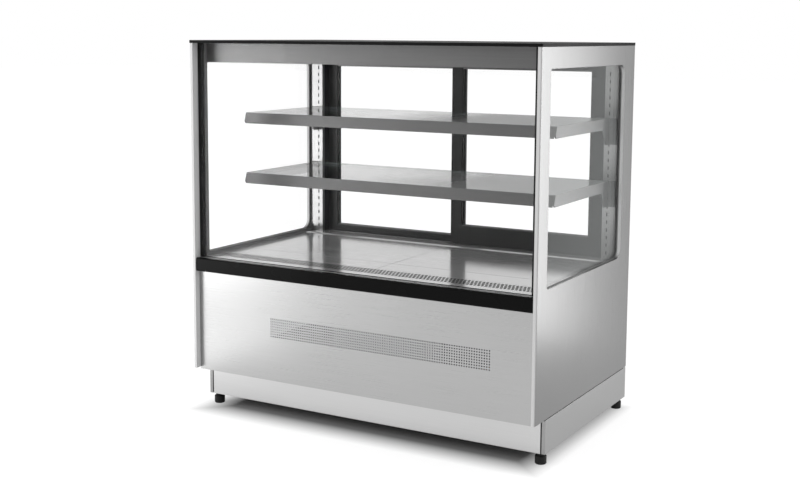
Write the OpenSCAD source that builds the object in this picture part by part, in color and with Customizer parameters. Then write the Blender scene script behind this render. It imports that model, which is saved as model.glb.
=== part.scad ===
// Refrigerated bakery display case with square glass, two shelves and sliding rear doors.
// Units are millimetres. +X is to the right seen from the front, +Y to the rear, +Z up.

/* [Overall] */
// overall width over the top panel
case_w = 1210; // [1100:10:1500]
// overall depth over the top panel
case_d = 750; // [720:10:800]
// overall height, standing on the feet
case_h = 1200; // [1150:10:1350]

/* [Top panel] */
// thickness of the top panel
top_t = 9; // [6:1:15]
// how far the top panel stands out past the side panels
top_overhang = 2; // [1:0.5:5]
// corner radius of the top panel
top_r = 6; // [2:1:20]

/* [Side panels] */
// thickness of each side panel
side_t = 11; // [9:1:16]
// radius of the side panel's outer front edge
nose_r = 4; // [2:0.5:8]
// how far the side panels end above the front panel's lower edge
side_lift = 6; // [4:0.5:12]
// width of the side panel in front of its window
window_front = 67; // [60:1:90]
// width of the side panel behind its window
window_rear = 88; // [84:1:110]
// height of the window's lower edge above the deck
window_sill = 13; // [12:1:40]
// height of the side panel above its window
window_head = 60; // [50:1:90]
// corner radius at the rear of the window
window_rear_r = 32; // [12:1:50]
// corner radius at the front of the window
window_front_r = 8; // [5:1:30]
// thickness of the window frame inside the side panel
frame_t = 8; // [7.5:0.5:12]
// how far the frame stands back from the window's edge
frame_step = 3; // [2:0.5:4]
// thickness of the side glass
side_glass_t = 5; // [4:0.5:5]
// how far the side glass reaches into the frame's groove
side_glass_bite = 5; // [3:0.5:5]

/* [Front] */
// distance from the panel noses back to the front glass
glass_setback = 20; // [18:1:24]
// thickness of the front glass
front_glass_t = 6; // [4:0.5:8]
// width of the pillar behind each end of the front glass
pillar_w = 18; // [14:0.5:24]
// depth of the pillar
pillar_d = 10; // [8:0.5:14]
// radius of the pillar's inner front edge
pillar_r = 4; // [1:0.5:6]
// height of the bumper strip under the front glass
bumper_h = 44; // [30:1:60]
// depth of the bumper strip
bumper_d = 14; // [8:1:15]
// distance from the panel noses back to the light canopy
canopy_setback = 62; // [50:1:90]
// height of the light canopy
canopy_h = 61; // [50:1:80]
// depth of the light canopy's top
canopy_d = 70; // [60:1:100]
// width of the light bar under the canopy
led_w = 30; // [26:1:36]
// height of the light bar
led_h = 20; // [14:1:26]
// distance from each end of the light bar to the window frame
led_end = 20; // [10:1:60]

/* [Vent] */
// width of the perforated vent in the front panel
vent_w = 768; // [600:8:800]
// height of the perforated vent
vent_h = 68; // [40:4:100]
// how far the vent is set to the right of the middle
vent_shift = 72; // [0:1:80]
// height of the vent above the front panel's lower edge
vent_rise = 137; // [100:1:170]
// spacing of the vent's holes
vent_pitch = 8; // [8:0.5:14]
// diameter of each vent hole
vent_hole = 4.2; // [3:0.1:6]

/* [Base] */
// diameter of each foot
foot_d = 34; // [30:1:40]
// height of each foot below the plinth
foot_h = 35; // [30:1:50]
// how far a foot can be screwed out
foot_travel = 20; // [10:1:25]
// diameter of the foot's threaded stud
stud_d = 10; // [8:1:14]
// height of the plinth
plinth_h = 98; // [80:1:130]
// distance from the panel noses back to the plinth
plinth_setback = 81; // [60:1:120]
// how far the plinth's sides are set in from the side panels
plinth_inset = 1; // [1:0.5:8]
// width of the slit beside the plinth front
plinth_slit = 4; // [2:1:8]
// thickness of the folded sheet
sheet_t = 2; // [1.5:0.5:3]
// width of the base rails
rail_w = 40; // [36:1:50]
// height of the base rails
rail_h = 30; // [25:1:40]

/* [Deck] */
// height of the display deck above the floor
deck_z = 503; // [490:1:540]
// thickness of the deck plates
deck_t = 3; // [2:0.5:4]
// depth of the insulated tub
tub_h = 140; // [130:1:150]
// wall thickness of the insulated tub
tub_wall = 30; // [20:1:35]
// depth of the perforated air strip
grille_d = 109; // [100:1:112]
// spacing of the air strip's holes
grille_pitch = 12; // [10:0.5:16]
// width across each hole of the air strip
grille_hole = 6; // [4:0.5:8]

/* [Rear doors] */
// distance from the side panels' rear edges forward to the door frame
door_inset = 20; // [14:1:24]
// depth of the door jambs
jamb_d = 50; // [50:1:56]
// width of each jamb
jamb_w = 54; // [48:1:70]
// height of the door head
head_h = 41; // [34:1:60]
// thickness of each door
door_t = 20; // [18:0.5:20]
// how far the two doors overlap in the middle
door_overlap = 36; // [30:1:60]
// width of the left door's outer stile
left_stile = 38; // [36:1:60]
// width of the right door's outer stile
right_stile = 50; // [36:1:60]
// width of the doors' meeting stiles
inner_stile = 40; // [30:1:60]
// height of the doors' top rails
top_rail = 38; // [25:1:60]
// height of the left door's bottom rail
left_rail = 20; // [18:1:80]
// height of the right door's bottom rail
right_rail = 60; // [18:1:80]
// thickness of the door glass
door_glass_t = 10; // [6:0.5:12]
// height of the door sill at its rear
sill_h = 36; // [30:1:45]

/* [Shelves] */
// width of each slotted upright
upright_w = 44; // [34:1:44]
// depth of each slotted upright
upright_d = 14; // [12:0.5:20]
// distance from the window frames to the row of slots in each upright
upright_inset = 30; // [30:1:36]
// how far the upright's middle lies outside its row of slots
upright_shift = 6; // [0:0.5:7]
// spacing of the slots
slot_pitch = 25; // [20:1:30]
// number of slots in each upright
slot_count = 24; // [21:1:24]
// slot that carries the upper shelf, counted from the bottom
upper_slot = 17; // [14:1:19]
// slot that carries the lower shelf
lower_slot = 9; // [6:1:11]
// distance from the panel noses back to the shelves
shelf_setback = 230; // [180:5:300]
// height of the price rail on the front of each shelf
trim_h = 35; // [28:1:45]
// how far the foot of the price rail leans forward
trim_lean = 12; // [0:1:20]
// thickness of the shelf glass
shelf_glass_t = 8; // [5:0.5:10]
// thickness of the bracket plates
bracket_t = 4; // [3:0.5:5]
// height of the bracket plates where they hook in
bracket_h = 84; // [76:1:100]
// thickness of the plate between each bracket and its upright
plate_t = 3; // [2:0.5:4]

/* [Rear panel] */
// length of each louvre
louvre_w = 100; // [80:1:104]
// gap between the columns of louvres
louvre_gap = 40; // [20:1:44]
// height of each louvre's slot
louvre_h = 6; // [4:0.5:8]
// spacing of the louvres
louvre_pitch = 18; // [16:0.5:20]
// number of louvres in each column
louvre_count = 10; // [4:1:10]

/* [Machine] */
// width of the condenser coil
cond_w = 340; // [240:10:360]
// depth of the condenser coil
cond_d = 55; // [40:1:60]
// height of the condenser coil
cond_h = 205; // [200:1:208]
// diameter of the condenser fan
cond_fan_d = 190; // [150:2:190]
// radius of the compressor shell
comp_r = 80; // [65:1:85]
// height of the compressor
comp_h = 185; // [160:1:190]
// diameter of the evaporator fan
evap_fan_d = 92; // [80:1:92]
// distance from each end of the evaporator coil to the tub's wall
evap_end = 132; // [124:1:230]
// depth of the evaporator coil
evap_d = 210; // [180:1:210]
// height of the evaporator coil
evap_h = 80; // [60:1:80]
// width of the drip tray
tray_w = 220; // [160:1:230]
// depth of the drip tray
tray_d = 210; // [140:1:220]
// height of the drip tray
tray_h = 40; // [25:1:60]
// diameter of the refrigerant pipes
pipe_d = 10; // [8:0.5:12]

/* [Controls] */
// width of the control panel
ctrl_w = 180; // [170:1:220]
// height of the control panel
ctrl_h = 48; // [44:1:70]
// distance from the right side panel to the control panel's middle
ctrl_end = 262; // [212:1:342]
// how far a key can be pressed
key_travel = 1.2; // [0.5:0.1:1.5]
// tilt of a rocker switch to each side
rocker_tilt = 9; // [5:1:12]

/* [Hidden] */
$fn = 64;

// heights
body_z = foot_h + plinth_h;
side_z = body_z + side_lift;
floor_z = body_z + sheet_t;
rim_z = deck_z - deck_t;
tub_z = rim_z - tub_h;
cavity_z = tub_z + tub_wall;
top_z = case_h - top_t;
bumper_z = deck_z - bumper_h;
sill_z = deck_z + 3;
sill_foot_z = sill_z - sill_h;
head_z = top_z - head_h;

// front to rear
nose_y = top_overhang - case_d / 2;
rear_y = case_d / 2 - top_overhang;
glass_y = nose_y + glass_setback;
glass_back_y = glass_y + front_glass_t;
channel_y = glass_y - 3;
tub_y = glass_back_y + 4;
ring_y = glass_back_y + pillar_d;
frame_y = rear_y - door_inset;
jamb_y = frame_y - jamb_d;
upright_y = jamb_y - upright_d;
sill_y = frame_y - 108;
tub_rear_y = rear_y - 86;
plenum_y = tub_y + tub_wall;
baffle_t = 20;
grille_y = tub_y + 11;
baffle_y = grille_y + grille_d - baffle_t / 2;
coil_space_y = baffle_y + baffle_t;
cavity_rear_y = sill_y - 13;
panel_y = glass_y;
plinth_y = nose_y + plinth_setback;
back_y = rear_y - 14;

// left to right, for the right half
side_x = case_w / 2 - top_overhang;
wall_x = side_x - side_t;
ring_x = wall_x - frame_t;
pillar_x = wall_x - pillar_w;
deck_x = ring_x - 1;
cavity_x = wall_x - tub_wall;
jamb_x = wall_x - jamb_w;
upright_x = ring_x - upright_inset;
upright_x0 = upright_x + upright_shift - upright_w / 2;
upright_x1 = upright_x0 + upright_w;
plinth_x = side_x - plinth_inset;
rail_x = plinth_x - sheet_t;
plinth_front_x = plinth_x - sheet_t - plinth_slit - 9;
foot_x = rail_x - rail_w / 2;
front_rail_y = plinth_y + sheet_t;
rear_rail_y = rear_y - sheet_t - rail_w;
foot_front_y = front_rail_y + rail_w / 2;
foot_rear_y = rear_rail_y + rail_w / 2;
boss_z = body_z - rail_h - 10;

// window outline in the side panel
window_y0 = nose_y + window_front;
window_y1 = rear_y - window_rear;
window_z0 = deck_z + window_sill;
window_z1 = top_z - window_head;
glass_x0 = ring_x + (frame_t - side_glass_t) / 2;
glass_x1 = glass_x0 + side_glass_t;

// doors and their two tracks
door_w = jamb_x - 1 + door_overlap / 2;
door_z0 = sill_z + 2;
door_z1 = head_z - 2;
inner_track_y = frame_y - 38;
outer_track_y = frame_y - 14;
track_w = 8;
track_depth = 12;
glide_w = 7;
run_gap = 0.3;

// shelves
slot_z = sill_z + 14;
slot_w = bracket_t + 0.6;
slot_h = 12;
hook_rise = 16;
ledge_t = 2;

// machine compartment
cond_x = vent_shift;
cond_y = panel_y + 40;
cond_z = floor_z + 5;
cond_mid_z = cond_z + cond_h / 2;
shroud_y = cond_y + cond_d;
fan_y = shroud_y + 28;
bend_r = pipe_d * 2.5;
evap_x = cavity_x - evap_end;
evap_y = coil_space_y + 140;
evap_z = cavity_z + 4;
evap_fan_z = cavity_z + 55;
discharge_z = floor_z + 115;
liquid_z = floor_z + 25;
suction_z = floor_z + 95;
coil_pipe_z = evap_z + 46;
liquid_x = cavity_x - 82;
suction_x = cavity_x - 42;
liquid_y = evap_y + evap_d / 7;
suction_y = evap_y + evap_d * 17 / 21;
comp_x = suction_x - bend_r - comp_r - 15;
comp_y = suction_y;
line_y = cond_y + cond_d / 2;
cond_end = cond_x + cond_w / 2 + 10;
coil_end = evap_x + 10;
drain_x = 80 - evap_x;
drain_y = evap_y + evap_d * 5 / 7;
shaft_gap = 0.05;

// controls
ctrl_x = wall_x - ctrl_end;
ctrl_z = sill_foot_z - 20 - ctrl_h / 2;
ctrl_t = 5;
key_w = 9;
key_h = 7;
key_gap = 0.4;
key_x = [for (i = [0 : 2]) ctrl_x + ctrl_w * (8 - 14 * i) / 180];
rocker_w = 13;
rocker_h = 20;
rocker_x = [for (i = [0 : 1]) ctrl_x - ctrl_w * (44 + 24 * i) / 180];
pivot_d = 3;
rocker_y = back_y + sheet_t + 2;

// a box given by its two corners
module block(a, b) {
    translate(a)
        cube(b - a);
}

// extrudes a Y-Z outline from one X to another
module along_x(x0, x1) {
    translate([x0, 0, 0])
        rotate([90, 0, 90])
            linear_extrude(x1 - x0)
                children();
}

// extrudes an X-Z outline from one Y to another
module along_y(y0, y1) {
    translate([0, y1, 0])
        rotate([90, 0, 0])
            linear_extrude(y1 - y0)
                children();
}

// extrudes an X-Y outline from one Z to another
module along_z(z0, z1) {
    translate([0, 0, z0])
        linear_extrude(z1 - z0)
            children();
}

// rods along each axis
module rod_x(y, z, x0, x1, d) {
    translate([x0, y, z])
        rotate([0, 90, 0])
            cylinder(d = d, h = x1 - x0);
}

module rod_y(x, z, y0, y1, d) {
    translate([x, y1, z])
        rotate([90, 0, 0])
            cylinder(d = d, h = y1 - y0);
}

module rod_z(x, y, z0, z1, d) {
    translate([x, y, z0])
        cylinder(d = d, h = z1 - z0);
}

module mirrored() {
    mirror([1, 0, 0])
        children();
}

function arc(c, r, a0, a1, n) = [
    for (i = [0 : n])
        c + r * [cos(a0 + (a1 - a0) * i / n), sin(a0 + (a1 - a0) * i / n)]
];

// outline of a rectangle with one radius on its left corners and one on its right
function rounded(x0, y0, x1, y1, r0, r1) = concat(
    arc([x0 + r0, y0 + r0], r0, 180, 270, 8),
    arc([x1 - r1, y0 + r1], r1, 270, 360, 8),
    arc([x1 - r1, y1 - r1], r1, 0, 90, 8),
    arc([x0 + r0, y1 - r0], r0, 90, 180, 8)
);

// the window outline, grown or shrunk all round
module window_outline(grow) {
    polygon(rounded(
        window_y0 - grow, window_z0 - grow, window_y1 + grow, window_z1 + grow,
        window_front_r + grow, window_rear_r + grow
    ));
}

module rect(x0, y0, x1, y1) {
    translate([x0, y0])
        square([x1 - x0, y1 - y0]);
}

// top and sides

module top_panel() {
    color("#1c1c1e")
        along_z(top_z, case_h)
            polygon(rounded(-case_w / 2, -case_d / 2, case_w / 2, case_d / 2, top_r, top_r));
}

module side_panel() {
    color("#c9cbcc")
        difference() {
            along_z(side_z, top_z)
                polygon(concat(
                    [[side_x, rear_y], [wall_x, rear_y], [wall_x, nose_y]],
                    arc([side_x - nose_r, nose_y + nose_r], nose_r, 270, 360, 6)
                ));
            along_x(wall_x - 1, side_x + 1)
                window_outline(0);
        }
}

module left_side_panel() {
    mirrored()
        side_panel();
}

module right_side_panel() {
    side_panel();
}

// a frame on the inside of the panel, cut out over the door sill, with a groove for the glass
module window_frame() {
    color("#56585a")
        difference() {
            along_x(ring_x, wall_x)
                polygon([
                    [ring_y, rim_z], [sill_y, rim_z], [sill_y, sill_z],
                    [jamb_y, sill_z], [jamb_y, top_z], [ring_y, top_z]
                ]);
            along_x(ring_x - 1, wall_x + 1)
                window_outline(frame_step);
            along_x(glass_x0, glass_x1)
                window_outline(frame_step + side_glass_bite);
        }
}

module left_window_frame() {
    mirrored()
        window_frame();
}

module right_window_frame() {
    window_frame();
}

module side_glass() {
    color("#cfe3e0", 0.4)
        along_x(glass_x0, glass_x1)
            window_outline(frame_step + side_glass_bite);
}

module left_side_glass() {
    mirrored()
        side_glass();
}

module right_side_glass() {
    side_glass();
}

// front

module front_glass() {
    color("#cfe3e0", 0.4)
        block([0.5 - wall_x, glass_y, rim_z - 10], [wall_x - 0.5, glass_back_y, top_z]);
}

module pillar() {
    color("#202122")
        along_z(deck_z, top_z)
            polygon(concat(
                [[wall_x, glass_back_y], [wall_x, ring_y], [pillar_x, ring_y]],
                arc([pillar_x + pillar_r, glass_back_y + pillar_r], pillar_r, 180, 270, 6)
            ));
}

module left_pillar() {
    mirrored()
        pillar();
}

module right_pillar() {
    pillar();
}

// a U-shaped channel that holds the lower edge of the front glass
module glass_channel() {
    color("#b9bbbd")
        along_x(-wall_x, wall_x)
            difference() {
                rect(channel_y, rim_z - 14, tub_y, deck_z);
                rect(glass_y, rim_z - 10, glass_back_y, deck_z + 1);
            }
}

module front_bumper() {
    bumper_y = channel_y - bumper_d;
    color("#121214")
        along_x(0.5 - wall_x, wall_x - 0.5)
            polygon(concat(
                [[channel_y, bumper_z], [channel_y, deck_z]],
                arc([bumper_y + 6, deck_z - 6], 6, 90, 180, 6),
                arc([bumper_y + 6, bumper_z + 6], 6, 180, 270, 6)
            ));
}

module front_panel() {
    cols = floor(vent_w / vent_pitch);
    rows = floor(vent_h / vent_pitch);
    first_x = vent_shift - (cols - 1) * vent_pitch / 2;
    first_z = body_z + vent_rise + (vent_h - (rows - 1) * vent_pitch) / 2;
    color("#d3d5d6") {
        along_y(panel_y, panel_y + sheet_t)
            difference() {
                rect(1 - wall_x, body_z, wall_x - 1, bumper_z);
                for (i = [0 : cols - 1], j = [0 : rows - 1])
                    translate([first_x + i * vent_pitch, first_z + j * vent_pitch])
                        circle(d = vent_hole);
            }
        block([1 - wall_x, panel_y + sheet_t, bumper_z - sheet_t], [wall_x - 1, tub_y, bumper_z]);
        block([1 - wall_x, panel_y + sheet_t, floor_z], [wall_x - 1, tub_y, floor_z + sheet_t]);
    }
}

module light_canopy() {
    canopy_y = nose_y + canopy_setback;
    canopy_z = top_z - canopy_h;
    color("#9a9c9e")
        along_x(-ring_x, ring_x)
            polygon([
                [canopy_y, canopy_z], [canopy_y + 16, canopy_z],
                [canopy_y + 16, canopy_z + sheet_t], [canopy_y + sheet_t, canopy_z + sheet_t],
                [canopy_y + sheet_t, top_z - sheet_t], [canopy_y + canopy_d, top_z - sheet_t],
                [canopy_y + canopy_d, top_z], [canopy_y, top_z]
            ]);
}

led_y = nose_y + canopy_setback + 40;
led_z = top_z - sheet_t - led_h;
led_x = ring_x - led_end;

module led_bar() {
    color("#b9bbbd")
        block([-led_x, led_y - led_w / 2, led_z], [led_x, led_y + led_w / 2, top_z - sheet_t]);
}

module led_diffuser() {
    color("#f4f4ee")
        along_x(-led_x, led_x)
            polygon(arc([led_y, led_z], led_w * 0.4, 180, 360, 16));
}

// base

module base_rail_x(y) {
    difference() {
        block([-rail_x, y, body_z - rail_h], [rail_x, y + rail_w, body_z]);
        block(
            [sheet_t - rail_x, y + sheet_t, body_z - rail_h - 1],
            [rail_x - sheet_t, y + rail_w - sheet_t, body_z - sheet_t]
        );
    }
}

module base_rail_y() {
    y0 = front_rail_y + rail_w - sheet_t;
    y1 = rear_rail_y + sheet_t;
    difference() {
        block([rail_x - rail_w, y0, body_z - rail_h], [rail_x, y1, body_z]);
        block(
            [rail_x - rail_w + sheet_t, y0 - 1, body_z - rail_h - 1],
            [rail_x - sheet_t, y1 + 1, body_z - sheet_t]
        );
    }
}

// places its children at the four feet
module at_feet() {
    for (x = [-foot_x, foot_x], y = [foot_front_y, foot_rear_y])
        translate([x, y, 0])
            children();
}

// at the right end, the plate's upturned edge and a gusset under the front rail
module base_end() {
    block([wall_x - sheet_t, tub_y, body_z], [wall_x, back_y, floor_z + 20]);
    block(
        [plinth_front_x - 8, front_rail_y, foot_h + 1],
        [rail_x, front_rail_y + sheet_t, body_z - rail_h + 1]
    );
    base_rail_y();
}

// a floor plate on a ring of rails, with a boss for each foot
module base_frame() {
    color("#242628")
        difference() {
            union() {
                block([-wall_x, tub_y - 6, body_z], [wall_x, back_y, floor_z]);
                base_rail_x(front_rail_y);
                base_rail_x(rear_rail_y);
                base_end();
                mirrored()
                    base_end();
                at_feet()
                    translate([0, 0, boss_z])
                        cylinder(d = stud_d + 14, h = body_z - boss_z);
            }
            at_feet()
                translate([0, 0, boss_z - 1])
                    cylinder(d = stud_d + 2 * shaft_gap, h = floor_z - boss_z + 2);
            translate([drain_x, drain_y, body_z - 1])
                cylinder(d = 12, h = sheet_t + 2);
        }
}

module plinth_front() {
    color("#c4c6c7")
        block([-plinth_front_x, plinth_y, foot_h], [plinth_front_x, plinth_y + sheet_t, body_z]);
}

// a side plate with a narrow return round the front corner, up to a gap under the side panel
module plinth_side() {
    color("#c4c6c7") {
        along_z(foot_h, body_z)
            polygon([
                [plinth_front_x + plinth_slit, plinth_y], [plinth_x, plinth_y],
                [plinth_x, rear_y], [rail_x, rear_y],
                [rail_x, plinth_y + sheet_t], [plinth_front_x + plinth_slit, plinth_y + sheet_t]
            ]);
        block([rail_x, plinth_y, body_z], [plinth_x, rear_y, side_z - 3]);
    }
}

module plinth_left() {
    mirrored()
        plinth_side();
}

module plinth_right() {
    plinth_side();
}

module plinth_rear() {
    color("#c4c6c7")
        block([-rail_x, rear_y - sheet_t, foot_h], [rail_x, rear_y, body_z]);
}

// a round foot with a waist, on a threaded stud
module foot(x, y) {
    r = foot_d / 2;
    color("#161617")
        translate([x, y, 0]) {
            rotate_extrude()
                polygon([
                    [0, 0], [r - 2, 0], [r, 2], [r, foot_h - 12], [r - 2, foot_h - 10],
                    [r - 5, foot_h - 10], [r - 5, foot_h], [0, foot_h]
                ]);
            cylinder(d = stud_d, h = boss_z + foot_travel + 15);
        }
}

module front_left_foot() {
    foot(-foot_x, foot_front_y);
}

module front_right_foot() {
    foot(foot_x, foot_front_y);
}

module rear_left_foot() {
    foot(-foot_x, foot_rear_y);
}

module rear_right_foot() {
    foot(foot_x, foot_rear_y);
}

// deck

// an insulated trough with a baffle that parts the air space from the coil
module insulated_tub() {
    color("#5a5c5e")
        difference() {
            union() {
                block([-wall_x, tub_y, tub_z], [wall_x, tub_rear_y, rim_z]);
                translate([drain_x, drain_y, tub_z - 30])
                    cylinder(d = 26, h = 31);
            }
            block([-cavity_x, plenum_y, cavity_z], [cavity_x, baffle_y, rim_z + 1]);
            block([-cavity_x, coil_space_y, cavity_z], [cavity_x, cavity_rear_y, rim_z + 1]);
            rod_y(0, evap_fan_z, baffle_y - 1, coil_space_y + 1, evap_fan_d + 8);
            translate([drain_x, drain_y, tub_z - 31])
                cylinder(d = 16, h = tub_wall + 32);
            for (p = [[liquid_x, liquid_y], [suction_x, suction_y]])
                translate([p[0], p[1], tub_z - 1])
                    cylinder(d = pipe_d + 1, h = tub_wall + 2);
        }
}

// a plate with a turned-down lip at each long edge and a crease along its front
module deck_pan() {
    y0 = coil_space_y - baffle_t / 2 + 1;
    y1 = sill_y - 1;
    lip_y0 = coil_space_y + 3;
    lip_y1 = cavity_rear_y - 3;
    crease_y = y0 + 94;
    color("#cfd1d2") {
        along_x(1, deck_x)
            difference() {
                rect(y0, rim_z, y1, deck_z);
                rect(crease_y, deck_z - 1, crease_y + 2, deck_z + 1);
            }
        along_x(1, cavity_x - 3) {
            rect(lip_y0, rim_z - 12, lip_y0 + sheet_t, rim_z);
            rect(lip_y1 - sheet_t, rim_z - 12, lip_y1, rim_z);
        }
    }
}

module left_deck_pan() {
    mirrored()
        deck_pan();
}

module right_deck_pan() {
    deck_pan();
}

module air_grille() {
    cols = floor((2 * deck_x - 40) / grille_pitch);
    rows = 4;
    first_x = -(cols - 1) * grille_pitch / 2;
    first_y = grille_y + grille_d - 68;
    color("#c8cacb")
        along_z(rim_z, deck_z)
            difference() {
                rect(-deck_x, grille_y, deck_x, grille_y + grille_d);
                for (j = [0 : rows - 1], i = [0 : cols - 1 - j % 2])
                    translate([first_x + (i + j % 2 / 2) * grille_pitch, first_y + j * 16])
                        circle(d = grille_hole);
            }
}

// rear

module track_cuts(z0, z1) {
    for (y = [inner_track_y, outer_track_y])
        rect(y - track_w / 2, z0, y + track_w / 2, z1);
}

module door_sill() {
    color("#bfc1c2")
        along_x(-wall_x, wall_x)
            difference() {
                polygon([
                    [sill_y, rim_z], [tub_rear_y, rim_z], [tub_rear_y, sill_foot_z],
                    [rear_y, sill_foot_z], [rear_y, sill_z], [sill_y + 6, sill_z], [sill_y, deck_z]
                ]);
                track_cuts(sill_z - track_depth, sill_z + 1);
            }
}

module door_head() {
    color("#2f3032")
        along_x(-wall_x, wall_x)
            difference() {
                rect(jamb_y, head_z, frame_y, top_z);
                track_cuts(head_z - 1, head_z + track_depth);
            }
}

module jamb() {
    color("#2f3032")
        block([jamb_x, jamb_y, sill_z], [wall_x, frame_y, head_z]);
}

module left_jamb() {
    mirrored()
        jamb();
}

module right_jamb() {
    jamb();
}

// outline of a door's glass opening, for a door from x0 with stiles of given widths
module door_opening(x0, stile0, stile1, rail, grow) {
    rect(
        x0 + stile0 - grow, door_z0 + rail - grow,
        x0 + door_w - stile1 + grow, door_z1 - top_rail + grow
    );
}

// a frame round the glass, with glides above and below and a flush pull in its outer stile
module door_frame(x0, y, stile0, stile1, rail, pull_x) {
    y0 = y - door_t / 2;
    y1 = y + door_t / 2;
    pull_z = (door_z0 + door_z1) / 2;
    color("#35363a")
        difference() {
            union() {
                along_y(y0, y1)
                    difference() {
                        rect(x0, door_z0, x0 + door_w, door_z1);
                        door_opening(x0, stile0, stile1, rail, 0);
                    }
                block(
                    [x0 + 12, y - glide_w / 2, sill_z - track_depth + run_gap],
                    [x0 + door_w - 12, y + glide_w / 2, door_z0]
                );
                block(
                    [x0 + 12, y - glide_w / 2, door_z1],
                    [x0 + door_w - 12, y + glide_w / 2, head_z + track_depth - 1]
                );
            }
            along_y(y - door_glass_t / 2, y + door_glass_t / 2)
                door_opening(x0, stile0, stile1, rail, 8);
            along_y(y1 - 8, y1 + 1)
                polygon(rounded(pull_x - 9, pull_z - 70, pull_x + 9, pull_z + 70, 8.5, 8.5));
        }
}

module door_glass(x0, y, stile0, stile1, rail) {
    color("#cfe3e0", 0.4)
        along_y(y - door_glass_t / 2, y + door_glass_t / 2)
            door_opening(x0, stile0, stile1, rail, 8);
}

left_door_x = 1 - jamb_x;
right_door_x = jamb_x - 1 - door_w;

module left_door_frame() {
    door_frame(
        left_door_x, outer_track_y, left_stile, inner_stile, left_rail, left_door_x + left_stile / 2 - 1
    );
}

module left_door_glass() {
    door_glass(left_door_x, outer_track_y, left_stile, inner_stile, left_rail);
}

module right_door_frame() {
    door_frame(
        right_door_x, inner_track_y, inner_stile, right_stile, right_rail, jamb_x - right_stile / 2
    );
}

module right_door_glass() {
    door_glass(right_door_x, inner_track_y, inner_stile, right_stile, right_rail);
}

// shelves

function shelf_z(slot) = slot_z + slot * slot_pitch + hook_rise;

// a channel with a row of slots in its face
module upright() {
    color("#d9dbdc")
        difference() {
            along_z(sill_z, head_z)
                difference() {
                    rect(upright_x0, upright_y, upright_x1, jamb_y);
                    rect(upright_x0 + sheet_t, upright_y + sheet_t, upright_x1 - sheet_t, jamb_y + 1);
                }
            along_y(upright_y - 1, upright_y + sheet_t + 1)
                for (i = [0 : slot_count - 1])
                    translate([upright_x - slot_w / 2, slot_z + i * slot_pitch])
                        square([slot_w, slot_h]);
        }
}

module left_upright() {
    mirrored()
        upright();
}

module right_upright() {
    upright();
}

// a hook through the slot whose lower edge is at z
function hook(z) = [
    [upright_y, z + 9], [upright_y + 8, z + 9], [upright_y + 8, z - 6],
    [upright_y + sheet_t + 0.4, z - 6], [upright_y + sheet_t + 0.4, z], [upright_y, z]
];

// an arm beside the shelf glass, a ledge under it, and a tall hooked end on a flat plate
module bracket(slot) {
    z1 = shelf_z(slot);
    z0 = z1 - trim_h;
    front = nose_y + shelf_setback;
    slot_base = slot_z + slot * slot_pitch;
    along_x(upright_x - bracket_t / 2, upright_x + bracket_t / 2)
        polygon(concat(
            [[front, z1], [upright_y, z1]],
            hook(slot_base),
            hook(slot_base - 2 * slot_pitch),
            [
                [upright_y, z1 - bracket_h], [upright_y - 30, z1 - bracket_h],
                [upright_y - 60, z0], [front + 8 - trim_lean, z0], [front - trim_lean * 0.8, z0 + trim_h / 5]
            ]
        ));
    block(
        [upright_x - bracket_t / 2 - 18, front + 22, z1 - shelf_glass_t - ledge_t],
        [upright_x - bracket_t / 2, upright_y - 20, z1 - shelf_glass_t]
    );
    block([upright_x0, upright_y - plate_t, z1 - bracket_h], [upright_x1, upright_y, z1]);
}

module shelf_brackets() {
    color("#c6c8ca")
        for (slot = [upper_slot, lower_slot]) {
            bracket(slot);
            mirrored()
                bracket(slot);
        }
}

module shelf_glass(slot) {
    x = upright_x - bracket_t / 2 - 0.5;
    z1 = shelf_z(slot);
    color("#cfe3e0", 0.4)
        block(
            [-x, nose_y + shelf_setback + sheet_t, z1 - shelf_glass_t],
            [x, upright_y - 10, z1]
        );
}

module upper_shelf_glass() {
    shelf_glass(upper_slot);
}

module lower_shelf_glass() {
    shelf_glass(lower_slot);
}

// a leaning price rail with a ledge under the front of the glass
module shelf_trim(slot) {
    x = upright_x - bracket_t / 2 - 0.5;
    y = nose_y + shelf_setback;
    z1 = shelf_z(slot);
    z0 = z1 - trim_h;
    ledge_z = z1 - shelf_glass_t;
    back = y + sheet_t;
    color("#77797b") {
        along_x(-x, x)
            polygon([
                [y, z1], [y - trim_lean, z0], [back - trim_lean, z0], [back, z1]
            ]);
        along_x(-x, x)
            polygon([
                [back - trim_lean * shelf_glass_t / trim_h, ledge_z],
                [back - trim_lean * (shelf_glass_t + ledge_t) / trim_h, ledge_z - ledge_t],
                [back + 19, ledge_z - ledge_t], [back + 19, ledge_z]
            ]);
    }
}

module upper_shelf_trim() {
    shelf_trim(upper_slot);
}

module lower_shelf_trim() {
    shelf_trim(lower_slot);
}

// machine compartment

// a slanted blade over a louvre's slot
module louvre_hood() {
    along_x(0, louvre_w)
        polygon([
            [0, louvre_h + 2], [5, 0], [6.5, 0], [0, louvre_h + 4.6]
        ]);
}

module rear_panel() {
    x0 = 122 - wall_x;
    z0 = body_z + 50;
    step = louvre_w + louvre_gap;
    color("#c4c6c7") {
        along_y(back_y, back_y + sheet_t)
            difference() {
                rect(1 - wall_x, body_z, wall_x - 1, sill_foot_z);
                rect(
                    ctrl_x - ctrl_w / 2 + 4, ctrl_z - ctrl_h / 2 + 4,
                    ctrl_x + ctrl_w / 2 - 4, ctrl_z + ctrl_h / 2 - 4
                );
                for (i = [0 : 4], j = [0 : louvre_count - 1])
                    translate([x0 + i * step, z0 + j * louvre_pitch])
                        square([louvre_w, louvre_h]);
            }
        for (i = [0 : 4], j = [0 : louvre_count - 1])
            translate([x0 + i * step, back_y + sheet_t, z0 + j * louvre_pitch])
                louvre_hood();
    }
}

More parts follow.
